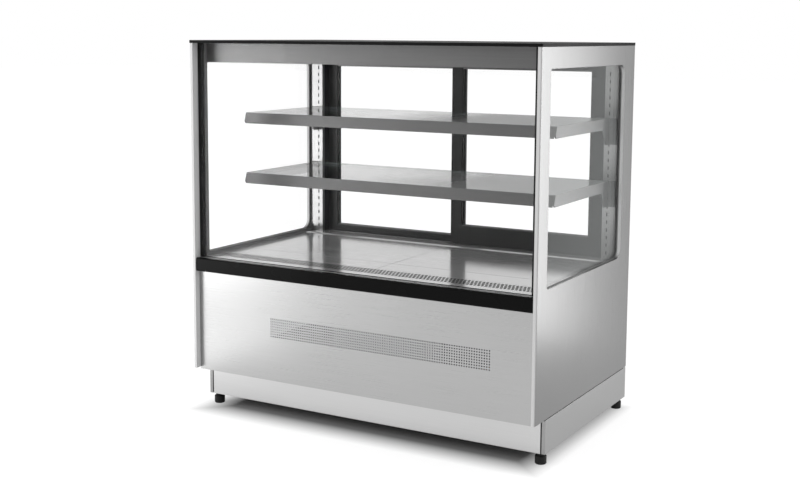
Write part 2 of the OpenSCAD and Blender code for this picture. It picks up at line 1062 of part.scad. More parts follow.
// a fascia with a display recess, pockets for the keys and rockers, and a box behind the panel
module controller() {
    face_y = back_y + sheet_t + ctrl_t;
    color("#1d1e20")
        difference() {
            union() {
                along_y(back_y + sheet_t, face_y)
                    polygon(rounded(
                        ctrl_x - ctrl_w / 2, ctrl_z - ctrl_h / 2,
                        ctrl_x + ctrl_w / 2, ctrl_z + ctrl_h / 2, 4, 4
                    ));
                block(
                    [ctrl_x - ctrl_w / 2 + 4, back_y - 36, ctrl_z - ctrl_h / 2 + 4],
                    [ctrl_x + ctrl_w / 2 - 4, back_y + sheet_t, ctrl_z + ctrl_h / 2 - 4]
                );
            }
            along_y(face_y - 1, face_y + 1)
                rect(
                    ctrl_x + ctrl_w * 0.133, ctrl_z - ctrl_h * 0.23,
                    ctrl_x + ctrl_w * 0.422, ctrl_z + ctrl_h * 0.23
                );
            for (x = key_x)
                along_y(face_y - key_travel - 4.5, face_y + 1)
                    rect(x - key_w / 2, ctrl_z - key_h / 2, x + key_w / 2, ctrl_z + key_h / 2);
            for (x = rocker_x)
                along_y(rocker_y - 12, face_y + 1)
                    rect(
                        x - rocker_w / 2, ctrl_z - rocker_h / 2,
                        x + rocker_w / 2, ctrl_z + rocker_h / 2
                    );
            for (x = rocker_x)
                rod_x(
                    rocker_y, ctrl_z, x - rocker_w / 2 - 2, x + rocker_w / 2 + 2,
                    pivot_d + 2 * shaft_gap
                );
        }
}

module key(x) {
    face_y = back_y + sheet_t + ctrl_t;
    color("#8a8d90")
        along_y(face_y - 4, face_y + key_travel + 0.2)
            rect(
                x - key_w / 2 + key_gap, ctrl_z - key_h / 2 + key_gap,
                x + key_w / 2 - key_gap, ctrl_z + key_h / 2 - key_gap
            );
}

module set_key() {
    key(key_x[0]);
}

module up_key() {
    key(key_x[1]);
}

module down_key() {
    key(key_x[2]);
}

// a rocker on a pin, whose two faces meet over the pivot, drawn tipped to one side
module rocker(x) {
    half = rocker_h / 2 - 0.7;
    color("#b3202a") {
        translate([x, rocker_y, ctrl_z])
            rotate([-rocker_tilt, 0, 0])
                along_x(0.5 - rocker_w / 2, rocker_w / 2 - 0.5)
                    polygon([
                        [-5, -half + 2], [3.5, -half], [2.2, 0], [3.5, half], [-5, half - 2]
                    ]);
        rod_x(rocker_y, ctrl_z, x - rocker_w / 2 - 1.5, x + rocker_w / 2 + 1.5, pivot_d);
    }
}

module power_switch() {
    rocker(rocker_x[0]);
}

module light_switch() {
    rocker(rocker_x[1]);
}

// a domed shell on a mounting plate, with a terminal box and two pipe stubs
module compressor() {
    shell_z = floor_z + comp_h * 0.12;
    shell_h = comp_h * 0.88;
    base_x = comp_r + 15;
    base_y = comp_r - 10;
    color("#17181a")
        translate([comp_x, comp_y, 0]) {
            difference() {
                block([-base_x, -base_y, floor_z], [base_x, base_y, floor_z + 4]);
                for (x = [12 - base_x, base_x - 12], y = [12 - base_y, base_y - 12])
                    translate([x, y, floor_z - 1])
                        cylinder(d = 11, h = 6);
            }
            translate([0, 0, floor_z + 3])
                cylinder(r = comp_r - 25, h = comp_h * 0.135);
            translate([0, 0, shell_z])
                rotate_extrude()
                    polygon(concat(
                        [[0, 0]],
                        arc(comp_r * [0.625, 0.375], comp_r * 0.375, -90, 0, 5),
                        arc([comp_r * 0.44, shell_h - comp_r * 0.56], comp_r * 0.56, 0, 90, 6),
                        [[0, shell_h]]
                    ));
            block(
                [-comp_r * 0.35, comp_r - 12, shell_z + comp_h * 0.27],
                [comp_r * 0.35, comp_r * 1.4, shell_z + comp_h * 0.62]
            );
            rod_y(0, discharge_z, -comp_r - 12, 8 - comp_r, pipe_d + 4);
            translate([comp_r - 8, 0, suction_z])
                rotate([0, 90, 0])
                    cylinder(d = pipe_d + 4, h = 20);
        }
}

// a finned block between end plates, with a shroud and a ring round the fan
module condenser() {
    x0 = cond_x - cond_w / 2;
    x1 = cond_x + cond_w / 2;
    fin_n = floor((cond_w - 20) / 12);
    color("#a8abad") {
        along_z(cond_z, cond_z + cond_h) {
            rect(x0, cond_y + 18, x1, shroud_y - 18);
            for (i = [0 : fin_n - 1])
                translate([x0 + 10 + i * 12, cond_y])
                    square([3, cond_d]);
        }
        block([x0 - 3, cond_y, floor_z], [x0, shroud_y, cond_z + cond_h]);
        block([x1, cond_y, floor_z], [x1 + 3, shroud_y, cond_z + cond_h]);
        along_y(shroud_y, shroud_y + 2)
            difference() {
                rect(x0 - 3, floor_z, x1 + 3, cond_z + cond_h);
                translate([cond_x, cond_mid_z])
                    circle(d = cond_fan_d + 8);
            }
        difference() {
            rod_y(cond_x, cond_mid_z, shroud_y + 1, shroud_y + 40, cond_fan_d + 12);
            rod_y(cond_x, cond_mid_z, shroud_y - 1, shroud_y + 41, cond_fan_d + 8);
        }
        for (z = [discharge_z, liquid_z])
            translate([x1 + 2, cond_y + cond_d / 2, z])
                rotate([0, 90, 0])
                    cylinder(d = pipe_d + 4, h = 8);
    }
}

// flat pitched blades round a hub, on an axis along Z
module fan(d, hub_d, bore, h, n) {
    difference() {
        union() {
            cylinder(d = hub_d, h = h);
            intersection() {
                cylinder(d = d, h = h);
                for (i = [0 : n - 1])
                    rotate([0, 0, i * 360 / n])
                        translate([hub_d / 2 - 4, 0, h / 2])
                            rotate([32, 0, 0])
                                translate([0, -d / 5, -1])
                                    cube([d / 2, d * 2 / 5, 2]);
            }
        }
        translate([0, 0, -1])
            cylinder(d = bore, h = h + 2);
    }
}

module condenser_fan() {
    color("#3a3c3f")
        translate([cond_x, fan_y + 26, cond_mid_z])
            rotate([90, 0, 0])
                fan(cond_fan_d, 54, 8 + 2 * shaft_gap, 26, 5);
}

module condenser_fan_motor() {
    motor_y = fan_y + 36;
    color("#24262a") {
        rod_y(cond_x, cond_mid_z, fan_y + 1, motor_y + 4, 8);
        rod_y(cond_x, cond_mid_z, motor_y, motor_y + 62, 78);
        difference() {
            block([cond_x - 26, motor_y + 28, floor_z], [cond_x + 26, motor_y + 36, cond_mid_z - 30]);
            block([cond_x - 14, motor_y + 27, floor_z + 14], [cond_x + 14, motor_y + 37, floor_z + 44]);
        }
        block([cond_x - 26, motor_y + 10, floor_z], [cond_x + 26, motor_y + 54, floor_z + 3]);
    }
}

// a finned coil on end plates, with two pipe stubs on the right
module evaporator() {
    x = evap_x;
    fin_n = floor((2 * x - 20) / 20);
    color("#b5b8ba") {
        along_z(evap_z, evap_z + evap_h) {
            for (i = [0 : 2])
                translate([-x, evap_y + evap_d * (1 + 2 * i) / 7])
                    square([2 * x, evap_d * 4 / 35]);
            for (i = [0 : fin_n - 1])
                translate([10 + i * 20 - x, evap_y])
                    square([3, evap_d]);
        }
        block([-x - 3, evap_y, cavity_z], [-x, evap_y + evap_d, evap_z + evap_h]);
        block([x, evap_y, cavity_z], [x + 3, evap_y + evap_d, evap_z + evap_h]);
        for (y = [liquid_y, suction_y])
            translate([x + 2, y, coil_pipe_z])
                rotate([0, 90, 0])
                    cylinder(d = pipe_d + 4, h = 8);
    }
}

module evaporator_fan() {
    color("#3a3c3f")
        translate([0, baffle_y + 18, evap_fan_z])
            rotate([90, 0, 0])
                fan(evap_fan_d, 32, 6 + 2 * shaft_gap, 16, 5);
}

// a small motor held across the opening by a strap on the baffle
module evaporator_fan_motor() {
    color("#24262a") {
        rod_y(0, evap_fan_z, baffle_y - 2, baffle_y + 17, 6);
        rod_y(0, evap_fan_z, baffle_y - 36, baffle_y - 5, 44);
        block(
            [-evap_fan_d / 2 - 16, baffle_y - 6, evap_fan_z - 8],
            [evap_fan_d / 2 + 16, baffle_y, evap_fan_z + 8]
        );
    }
}

module drip_tray() {
    x0 = drain_x - tray_w / 2;
    x1 = drain_x + tray_w / 2;
    y0 = drain_y - tray_d * 4 / 7;
    y1 = drain_y + tray_d * 3 / 7;
    color("#3d4043")
        difference() {
            block([x0, y0, floor_z], [x1, y1, floor_z + tray_h]);
            block([x0 + 3, y0 + 3, floor_z + 3], [x1 - 3, y1 - 3, floor_z + tray_h + 1]);
        }
}

// a quarter bend of the pipe
module elbow() {
    rotate_extrude(angle = 90)
        translate([bend_r, 0])
            circle(d = pipe_d);
}

// from the compressor forward and across to the condenser
module discharge_line() {
    r = bend_r;
    rod_x(line_y, discharge_z, cond_end, comp_x - r, pipe_d);
    translate([comp_x - r, line_y + r, discharge_z])
        rotate([0, 0, -90])
            elbow();
    rod_y(comp_x, discharge_z, line_y + r, comp_y - comp_r - 12, pipe_d);
}

// from the condenser to the right, back, and up through the tub's floor to the coil
module liquid_line() {
    r = bend_r;
    rod_x(line_y, liquid_z, cond_end, liquid_x - r, pipe_d);
    translate([liquid_x - r, line_y + r, liquid_z])
        rotate([0, 0, -90])
            elbow();
    rod_y(liquid_x, liquid_z, line_y + r, liquid_y - r, pipe_d);
    translate([liquid_x, liquid_y - r, liquid_z + r])
        rotate([90, 0, 90])
            rotate([0, 0, -90])
                elbow();
    rod_z(liquid_x, liquid_y, liquid_z + r, coil_pipe_z - r, pipe_d);
    translate([liquid_x - r, liquid_y, coil_pipe_z - r])
        rotate([90, 0, 0])
            elbow();
    rod_x(liquid_y, coil_pipe_z, coil_end, liquid_x - r, pipe_d);
}

// from the coil down through the tub's floor and back to the compressor
module suction_line() {
    r = bend_r;
    rod_x(suction_y, coil_pipe_z, coil_end, suction_x - r, pipe_d);
    translate([suction_x - r, suction_y, coil_pipe_z - r])
        rotate([90, 0, 0])
            elbow();
    rod_z(suction_x, suction_y, suction_z + r, coil_pipe_z - r, pipe_d);
    translate([suction_x - r, suction_y, suction_z + r])
        rotate([90, 0, 0])
            rotate([0, 0, -90])
                elbow();
    rod_x(suction_y, suction_z, comp_x + comp_r + 12, suction_x - r, pipe_d);
}

module refrigerant_pipes() {
    color("#b9743f") {
        discharge_line();
        liquid_line();
        suction_line();
    }
}

top_panel();
left_side_panel();
right_side_panel();
left_window_frame();
right_window_frame();
left_side_glass();
right_side_glass();
front_glass();
left_pillar();
right_pillar();
glass_channel();
front_bumper();
front_panel();
light_canopy();
led_bar();
led_diffuser();
base_frame();
plinth_front();
plinth_left();
plinth_right();
plinth_rear();
front_left_foot();
front_right_foot();
rear_left_foot();
rear_right_foot();
insulated_tub();
left_deck_pan();
right_deck_pan();
air_grille();
door_sill();
door_head();
left_jamb();
right_jamb();
left_door_frame();
left_door_glass();
right_door_frame();
right_door_glass();
left_upright();
right_upright();
shelf_brackets();
upper_shelf_glass();
lower_shelf_glass();
upper_shelf_trim();
lower_shelf_trim();
rear_panel();
controller();
set_key();
up_key();
down_key();
power_switch();
light_switch();
compressor();
condenser();
condenser_fan_motor();
condenser_fan();
evaporator();
evaporator_fan_motor();
evaporator_fan();
drip_tray();
refrigerant_pipes();
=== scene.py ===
import math

import bmesh
import bpy
from mathutils import Matrix, Vector


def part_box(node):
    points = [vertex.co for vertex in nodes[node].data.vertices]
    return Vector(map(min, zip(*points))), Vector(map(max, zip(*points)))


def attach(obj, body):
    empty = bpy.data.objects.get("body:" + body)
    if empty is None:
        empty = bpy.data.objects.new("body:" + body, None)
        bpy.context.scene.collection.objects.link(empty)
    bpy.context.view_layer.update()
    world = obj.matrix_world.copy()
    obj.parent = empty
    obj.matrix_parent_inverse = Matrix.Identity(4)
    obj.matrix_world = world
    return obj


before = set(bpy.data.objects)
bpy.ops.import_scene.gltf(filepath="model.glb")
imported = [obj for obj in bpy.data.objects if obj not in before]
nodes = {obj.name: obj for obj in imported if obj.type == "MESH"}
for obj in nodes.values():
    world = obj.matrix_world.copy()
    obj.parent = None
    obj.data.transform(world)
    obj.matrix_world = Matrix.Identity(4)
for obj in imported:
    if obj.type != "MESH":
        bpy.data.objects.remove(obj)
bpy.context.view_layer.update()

scene = bpy.context.scene
scene.view_settings.view_transform = "Standard"
mm = 0.001


def rgb(value):
    return (value, value, value, 1.0)


# shader maths: a Wire is one socket, and sums on it add Math nodes
class Wire:
    def __init__(self, graph, socket):
        self.graph = graph
        self.socket = socket

    def sum(self, operation, first, second):
        return self.graph.add("ShaderNodeMath", {"operation": operation}, {0: first, 1: second})

    def __add__(self, other):
        return self.sum("ADD", self, other)

    def __radd__(self, other):
        return self.sum("ADD", other, self)

    def __sub__(self, other):
        return self.sum("SUBTRACT", self, other)

    def __rsub__(self, other):
        return self.sum("SUBTRACT", other, self)

    def __mul__(self, other):
        return self.sum("MULTIPLY", self, other)

    def __rmul__(self, other):
        return self.sum("MULTIPLY", other, self)

    def __truediv__(self, other):
        return self.sum("DIVIDE", self, other)

    def __rtruediv__(self, other):
        return self.sum("DIVIDE", other, self)

    def __pow__(self, other):
        return self.sum("POWER", self, other)

    def __rpow__(self, other):
        return self.sum("POWER", other, self)

    def __or__(self, other):
        return self.sum("MAXIMUM", self, other)

    def __ror__(self, other):
        return self.sum("MAXIMUM", other, self)

    def __gt__(self, other):
        return self.sum("GREATER_THAN", self, other)

    def __lt__(self, other):
        return self.sum("LESS_THAN", self, other)

    def floor(self):
        return self.graph.add("ShaderNodeMath", {"operation": "FLOOR"}, {0: self})


# the node tree of a material or of the world
class Graph:
    def __init__(self, owner):
        owner.use_nodes = True
        self.owner = owner
        self.tree = owner.node_tree

    # any node: its settings first, then values or wires on its sockets
    def add(self, kind, settings=None, inputs=None, out=0):
        node = self.tree.nodes.new(kind)
        for key, value in (settings or {}).items():
            setattr(node, key, value)
        for key, value in (inputs or {}).items():
            self.feed(node.inputs[key], value)
        return Wire(self, node.outputs[out])

    def feed(self, socket, value):
        if isinstance(value, Wire):
            self.tree.links.new(value.socket, socket)
        else:
            socket.default_value = value

    def set(self, **values):
        shader = self.tree.nodes["Principled BSDF"]
        for key, value in values.items():
            self.feed(shader.inputs[key.replace("_", " ")], value)

    def surface(self, wire):
        self.feed(self.tree.nodes["Material Output"].inputs["Surface"], wire)

    # another shader in place of the main one, where the mask is 1
    def overlay(self, mask, shader):
        main = Wire(self, self.tree.nodes["Principled BSDF"].outputs[0])
        self.surface(self.add("ShaderNodeMixShader", None, {0: mask, 1: main, 2: shader}))

    def matt(self, value):
        return self.add("ShaderNodeBsdfDiffuse", None, {"Color": rgb(value)})

    def axis(self, name, kind="Object"):
        here = self.add("ShaderNodeTexCoord", out=kind)
        return self.add("ShaderNodeSeparateXYZ", None, {0: here}, out=name)

    # how far the face points along one axis
    def slope(self, name):
        facing = self.add("ShaderNodeNewGeometry", out="True Normal")
        return self.add("ShaderNodeSeparateXYZ", None, {0: facing}, out=name)

    # noise with so many waves in a metre along each axis
    def noise(self, waves, detail=2.0, rough=0.5):
        here = self.add("ShaderNodeTexCoord", out="Object")
        place = self.add("ShaderNodeMapping", None, {"Vector": here, "Scale": waves})
        return self.add("ShaderNodeTexNoise", None,
                        {"Vector": place, "Scale": 1.0, "Detail": detail, "Roughness": rough})

    def between(self, value, low, high, toLow=0.0, toHigh=1.0):
        ends = {"From Min": low, "From Max": high, "To Min": toLow, "To Max": toHigh}
        return self.add("ShaderNodeMapRange", {"clamp": True}, {"Value": value, **ends})

    def blend(self, factor, first, second):
        return self.add("ShaderNodeMix", {"data_type": "RGBA"}, {0: factor, 6: first, 7: second}, out=2)

    def mix(self, factor, first, second):
        return self.add("ShaderNodeMix", {"data_type": "FLOAT"}, {0: factor, 2: first, 3: second})

    # a bump, on edges that are rounded by the radius
    def bump(self, height, strength, distance, radius=None):
        inputs = {"Height": height, "Strength": strength, "Distance": distance}
        if radius:
            inputs["Normal"] = self.add("ShaderNodeBevel", {"samples": 4}, {"Radius": radius})
        return self.add("ShaderNodeBump", None, inputs)

    def ray(self, kind):
        return self.add("ShaderNodeLightPath", out=kind)

    # painted shade: 1 in dark ovals over the holes of staggered rows, which run along X; the ovals are
    # larger than the cut holes
    def holes(self, look):
        x, y = self.axis("X"), self.axis("Y")
        down = (y - look["start"][1]) / look["pitch"][1]
        row = (down + 0.5).floor()
        along = (x - look["start"][0]) / look["pitch"][0] - (row * 0.5 - (row * 0.5).floor())
        dx = (along - (along + 0.5).floor()) * (look["pitch"][0] / look["size"][0])
        dy = (down - row) * (look["pitch"][1] / look["size"][1])
        inside = (row > -0.5) * (row < look["rows"] - 0.5) * (x * x < look["reach"] ** 2)
        return (dx * dx + dy * dy < 1.0) * inside


def newFinish(name):
    return Graph(bpy.data.materials.new(name))


# brushed steel, with streaks along one axis
grainLook = {
    "streaks": {"x": (5, 700, 700), "y": (700, 5, 700), "z": (700, 700, 5)},
    "clouds": (2.2, 2.2, 2.2),
    "strength": 0.025,
    "depth": 0.4 * mm,
    "swing": 0.05,  # how much the roughness varies each way
    # the near-black of the painted shade in holes and on cut walls
    "hole": 0.012,
}


def brushedSteel(name, look):
    g = newFinish(name)
    streak = g.noise(grainLook["streaks"][look["grain"]], 3.0, 0.6)
    cloud = g.noise(grainLook["clouds"])
    tone = g.between(streak * 0.7 + cloud * 0.5, 0.35, 0.85)
    rough, swing = look["rough"], grainLook["swing"]
    g.set(Base_Color=g.blend(tone, rgb(look["dark"]), rgb(look["light"])),
          Metallic=look.get("metal", 1.0),
          Roughness=g.between(streak + cloud * 0.3, 0.4, 0.9, rough - swing, rough + swing),
          Anisotropic=0.3,
          Normal=g.bump(streak, grainLook["strength"], grainLook["depth"], look.get("edge")))
    if "punched" in look:  # painted shade: the holes and their cut walls are a dull near-black
        square = g.slope(look["punched"])
        paintedShade = square * square < 0.5
        if "holes" in look:
            paintedShade = paintedShade | g.holes(look["holes"])
        g.overlay(paintedShade, g.matt(grainLook["hole"]))
    if "paintedLitFaces" in look:  # painted light: the faces that look into the case and to the front are a matt light grey, lighter than the steel, as if lit
        inward = g.slope("X") * g.axis("X") < -0.3
        forward = g.between(g.slope("Y") * -1.0, 0.3, 0.9)
        g.overlay(inward | forward, g.matt(look["paintedLitFaces"]))
    return g.owner


# painted light and shade: each entry's levels were set to how lit or shaded that part looks, so most are
# copies of one brushed stainless made lighter or darker (side darker, plinth lighter, bracket, canopy and
# rail darker)
steelLitShadedLook = {
    "panel": {"grain": "x", "dark": 0.40, "light": 0.45, "rough": 0.30, "edge": 0.8 * mm, "punched": "Y"},
    "plinth": {"grain": "x", "dark": 0.56, "light": 0.61, "rough": 0.34, "edge": 0.8 * mm},
    "kick": {"grain": "y", "dark": 0.31, "light": 0.35, "rough": 0.36, "edge": 0.8 * mm},
    "side": {"grain": "z", "dark": 0.185, "light": 0.22, "rough": 0.31, "edge": 1.2 * mm, "paintedLitFaces": 0.74},
    "deck": {"grain": "x", "dark": 0.50, "light": 0.56, "rough": 0.14, "edge": 0.8 * mm, "metal": 0.48},
    "grille": {"grain": "x", "dark": 0.50, "light": 0.56, "rough": 0.16, "edge": 0.4 * mm, "metal": 0.48,
               "punched": "Z",
               "holes": {"start": (-552 * mm, -291 * mm), "pitch": (12 * mm, 16 * mm), "rows": 4,
                         "size": (4.6 * mm, 6.8 * mm), "reach": 556 * mm}},
    "fitting": {"grain": "z", "dark": 0.30, "light": 0.35, "rough": 0.32, "edge": 0.5 * mm},
    "bracket": {"grain": "z", "dark": 0.14, "light": 0.165, "rough": 0.42, "edge": 0.5 * mm},
    "canopy": {"grain": "x", "dark": 0.15, "light": 0.185, "rough": 0.38, "edge": 0.6 * mm},
    "rail": {"grain": "x", "dark": 0.12, "light": 0.15, "rough": 0.36, "edge": 0.6 * mm},
    "profile": {"grain": "x", "dark": 0.42, "light": 0.50, "rough": 0.34, "edge": 0.6 * mm},
    "coil": {"grain": "z", "dark": 0.40, "light": 0.55, "rough": 0.45},
}
steel = {key: brushedSteel("brushed_" + key, look) for key, look in steelLitShadedLook.items()}


# paint and plastic, with a fine grain
gritLook = {
    "specks": (1500, 1500, 1500),
    "clouds": (6, 6, 6),
    "depth": 0.2 * mm,
    "swing": (-0.04, 0.05),
}


def satinPaint(name, look):
    g = newFinish(name)
    speck = g.noise(gritLook["specks"])
    cloud = g.noise(gritLook["clouds"], 3.0)
    smoother, rougher = (look["rough"] + swing for swing in gritLook["swing"])
    g.set(Base_Color=g.blend(cloud, look["dark"], look["light"]),
          Roughness=g.between(cloud, 0.3, 0.7, smoother, rougher),
          Metallic=look.get("metal", 0.0),
          Specular_IOR_Level=look.get("shine", 0.3),
          Normal=g.bump(speck, look.get("grainy", 0.05), gritLook["depth"], look.get("edge", 0.6 * mm)))
    return g.owner


paintLook = {
    "top": {"dark": rgb(0.004), "light": rgb(0.006), "rough": 0.55, "shine": 0.10, "edge": 1.0 * mm},
    "post": {"dark": rgb(0.009), "light": rgb(0.012), "rough": 0.50, "shine": 0.12, "edge": 1.5 * mm},
    "bumper": {"dark": rgb(0.003), "light": rgb(0.005), "rough": 0.25, "shine": 0.06, "edge": 1.5 * mm},
    "ring": {"dark": rgb(0.175), "light": rgb(0.205), "rough": 0.42, "shine": 0.30},
    # the base frame is black coated, and the black also stands in for the shade in the gap under the side
    # panels: partly painted shade
    "chassis": {"dark": rgb(0.010), "light": rgb(0.016), "rough": 0.50, "shine": 0.15},
    "door": {"dark": rgb(0.028), "light": rgb(0.036), "rough": 0.42, "shine": 0.30},
    "foot": {"dark": rgb(0.006), "light": rgb(0.012), "rough": 0.55, "shine": 0.25, "grainy": 0.2},
    # painted shade: the tub is coloured a dark grey so that the deck's holes look shaded inside
    "liner": {"dark": rgb(0.045), "light": rgb(0.060), "rough": 0.55, "shine": 0.15},
    "control": {"dark": rgb(0.008), "light": rgb(0.012), "rough": 0.30},
    "key": {"dark": rgb(0.20), "light": rgb(0.24), "rough": 0.50},
    "rocker": {"dark": (0.30, 0.012, 0.014, 1), "light": (0.36, 0.016, 0.018, 1), "rough": 0.28},
    "machine": {"dark": rgb(0.008), "light": rgb(0.014), "rough": 0.30},
    "fan": {"dark": rgb(0.020), "light": rgb(0.030), "rough": 0.50},
    "copper": {"dark": (0.52, 0.20, 0.09, 1), "light": (0.66, 0.30, 0.15, 1), "rough": 0.28, "metal": 1.0},
}
paint = {key: satinPaint("satin_" + key, look) for key, look in paintLook.items()}


# glass: clear where it is looked at squarely, and a mirror where it is looked along
# painted shade: the glass's colour darkens from the left end to the right end along X, with random smears on
# top
shadeDriftLook = {"reach": (-0.5, 0.5), "share": 0.7, "smear": 0.3, "shadeRamp": (0.42, 0.66)}


def clearGlass(name, look):
    g = newFinish(name)
    smear = g.noise((3, 3, 3))
    shadeDrift = g.between(g.axis("X"), *shadeDriftLook["reach"]) * shadeDriftLook["share"] + smear * shadeDriftLook["smear"]
    facing = g.add("ShaderNodeLayerWeight", None, {"Blend": 0.5}, out="Facing")
    cover = facing ** 5.0 * look["gloss"] + look["cover"]
    metal = 1.0
    if "rightShade" in look:  # painted shade: greyer, duller and more opaque towards the right end
        cover = cover + shadeDrift * (0.5 * look["rightShade"])
        metal = g.between(shadeDrift, *shadeDriftLook["shadeRamp"], 1.0, 1.0 - look["rightShade"])
    g.set(Base_Color=g.blend(shadeDrift, look["light"], look["tintAndShade"]),
          Metallic=metal,
          Specular_IOR_Level=0.0,
          Specular_Tint=look["rim"],
          Roughness=g.between(smear, 0.3, 0.7, 0.01, 0.04),
          Alpha=g.between(cover, 0.0, 1.0))
    return g.owner


paneTint = {"tintAndShade": (0.90, 0.94, 0.93, 1), "light": rgb(0.96), "rim": rgb(1.0)}
glassLook = {
    "pane": {**paneTint, "gloss": 0.6, "cover": 0.003},
    "side": {**paneTint, "gloss": 0.5, "cover": 0.02},
    # the shelf's right-end colour is a painted grey shade
    "shelf": {"tintAndShade": (0.365, 0.375, 0.372, 1), "light": rgb(0.92), "rim": rgb(0.75),
              "gloss": 0.9, "cover": 0.05, "rightShade": 0.55},
}
glass = {key: clearGlass("glass_" + key, look) for key, look in glassLook.items()}


def glassEdge(name, look):
    g = newFinish(name)
    cloud = g.noise((40, 40, 40))
    g.set(Base_Color=g.blend(cloud, look["dark"], look["light"]), Roughness=0.12, Alpha=look["cover"])
    return g.owner


edgeLook = {"dark": (0.40, 0.50, 0.47, 1), "light": (0.62, 0.70, 0.68, 1), "cover": 0.45}
paneEdge = glassEdge("glass_edge", edgeLook)


# the light bar and the indicator lamps
def glowing(name, look):
    g = newFinish(name)
    grain = g.noise((900, 900, 900))
    paler = tuple(min(1.0, c * 1.06) for c in look["base"])
    g.set(Base_Color=g.blend(grain, look["base"], paler), Roughness=0.5,
          Emission_Color=look["colour"], Emission_Strength=look["strength"])
    return g.owner


glowLook = {
    "led_glow": {"base": rgb(0.85), "colour": (1.0, 0.98, 0.95, 1.0), "strength": 1.5},
    "lamp_green": {"base": (0.02, 0.30, 0.05, 1), "colour": (0.05, 0.8, 0.12, 1.0), "strength": 0.5},
    "lamp_amber": {"base": (0.30, 0.14, 0.01, 1), "colour": (0.9, 0.4, 0.03, 1.0), "strength": 0.2},
}
glow = {key: glowing(key, look) for key, look in glowLook.items()}

finishOf = {
    steel["side"]: ["left_side_panel", "right_side_panel"],
    steel["panel"]: ["front_panel", "rear_panel"],
    steel["plinth"]: ["plinth_front", "plinth_rear"],
    steel["kick"]: ["plinth_left", "plinth_right"],
    steel["deck"]: ["left_deck_pan", "right_deck_pan", "door_sill"],
    steel["grille"]: ["air_grille"],
    steel["fitting"]: ["left_upright", "right_upright"],
    steel["bracket"]: ["shelf_brackets"],
    steel["canopy"]: ["light_canopy"],
    steel["rail"]: ["upper_shelf_trim", "lower_shelf_trim"],
    steel["profile"]: ["glass_channel", "led_bar"],
    steel["coil"]: ["condenser", "evaporator"],
    paint["top"]: ["top_panel"],
    paint["post"]: ["left_pillar", "right_pillar"],
    paint["bumper"]: ["front_bumper"],
    paint["door"]: ["door_head", "left_jamb", "right_jamb", "left_door_frame", "right_door_frame"],
    paint["ring"]: ["left_window_frame", "right_window_frame"],
    paint["chassis"]: ["base_frame"],
    paint["foot"]: ["front_left_foot", "front_right_foot", "rear_left_foot", "rear_right_foot"],
    paint["liner"]: ["insulated_tub"],
    paint["control"]: ["controller", "drip_tray"],
    paint["key"]: ["set_key", "up_key", "down_key"],
    paint["rocker"]: ["power_switch", "light_switch"],
    paint["machine"]: ["compressor", "condenser_fan_motor", "evaporator_fan_motor"],
    paint["fan"]: ["condenser_fan", "evaporator_fan"],
    paint["copper"]: ["refrigerant_pipes"],
    glass["pane"]: ["front_glass", "left_door_glass", "right_door_glass"],
    glass["side"]: ["left_side_glass", "right_side_glass"],
    glass["shelf"]: ["upper_shelf_glass", "lower_shelf_glass"],
    glow["led_glow"]: ["led_diffuser"],
}
for material, names in finishOf.items():
    for name in names:
        mesh = nodes[name].data
        mesh.materials.clear()
        mesh.materials.append(material)
print("finishes:", len(finishOf), "on", sum(len(names) for names in finishOf.values()), "nodes")


# small parts that are fixed to the solids

def finishPiece(name, bm, material, body):
    bmesh.ops.remove_doubles(bm, verts=bm.verts, dist=1e-6)
    bmesh.ops.recalc_face_normals(bm, faces=bm.faces)
    mesh = bpy.data.meshes.new(name)
    bm.to_mesh(mesh)
    bm.free()
    mesh.materials.append(material)
    piece = bpy.data.objects.new(name, mesh)
    scene.collection.objects.link(piece)
    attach(piece, body)


# a bar with rounded edges that fills a box
def addBar(bm, low, high, edge):
    low, high = Vector(low), Vector(high)
    place = Matrix.LocRotScale((low + high) / 2, None, high - low)
    made = bmesh.ops.create_cube(bm, size=1.0, matrix=place)
    edges = [e for e in bm.edges if e.verts[0] in made["verts"]]
    bmesh.ops.bevel(bm, geom=edges, offset=edge, affect="EDGES", segments=2, profile=0.5, material=-1)


# from a plate that lies flat to one that is thin along X or Y
plateTurns = {
    "x": Matrix(((0, 0, 1), (1, 0, 0), (0, 1, 0))),
    "y": Matrix(((1, 0, 0), (0, 0, 1), (0, 1, 0))),
}


# a plate with rounded corners that fills a box, or a ring of the given width
def addPlate(bm, low, high, axis, radii, width=None):
    turn = plateTurns[axis]
    low, high = turn.inverted() @ Vector(low), turn.inverted() @ Vector(high)
    size = high - low
    oldVerts, oldFaces = set(bm.verts), set(bm.faces)
    flat = Matrix.Diagonal((size.x, size.y, 1, 1))
    bmesh.ops.create_grid(bm, x_segments=1, y_segments=1, size=0.5, matrix=flat)
    for side, radius in zip((-1, 1), radii):
        corners = [v for v in bm.verts if v not in oldVerts and v.co.x * side > 0]
        bmesh.ops.bevel(bm, geom=corners, offset=radius, affect="VERTICES", segments=8, profile=0.5,
                        material=-1)
    face = next(f for f in bm.faces if f not in oldFaces)
    if width:
        bmesh.ops.inset_region(bm, faces=[face], thickness=width, use_boundary=True, use_even_offset=True)
        bmesh.ops.delete(bm, geom=[face], context="FACES_ONLY")
    bmesh.ops.solidify(bm, geom=[f for f in bm.faces if f not in oldFaces], thickness=size.z)
    verts = [v for v in bm.verts if v not in oldVerts]
    middle = (low + high) / 2
    middle.z = low.z - min(v.co.z for v in verts)
    bmesh.ops.transform(bm, matrix=turn.to_4x4() @ Matrix.Translation(middle), verts=verts)


